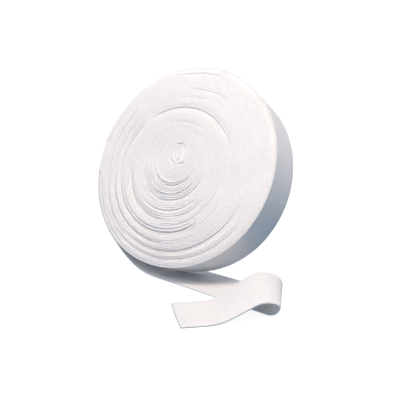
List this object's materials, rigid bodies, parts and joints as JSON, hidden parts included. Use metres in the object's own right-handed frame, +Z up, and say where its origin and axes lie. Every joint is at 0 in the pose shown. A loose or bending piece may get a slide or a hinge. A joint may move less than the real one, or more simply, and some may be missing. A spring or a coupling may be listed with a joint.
{
  "type": "rolled cast stockinette",
  "caption": "Flat knitted cotton tube wound into a disc-shaped roll that leans on its rim, with its loose end run out under it, looped up and laid back over itself.",
  "frame": {"origin": "centre of the footprint box, on the floor", "axes": "+Z up; the roll's front face looks towards -Y and leans back; the roll would roll along X, and the loose end runs out towards +X"},
  "size_m": [0.2396, 0.1882, 0.2158],
  "materials": {
    "knitted_cotton": "matt off-white fine rib knit"
  },
  "bodies": {
    "root": {"roll": "knitted_cotton", "loose_end": "knitted_cotton"}
  },
  "joints": []
}
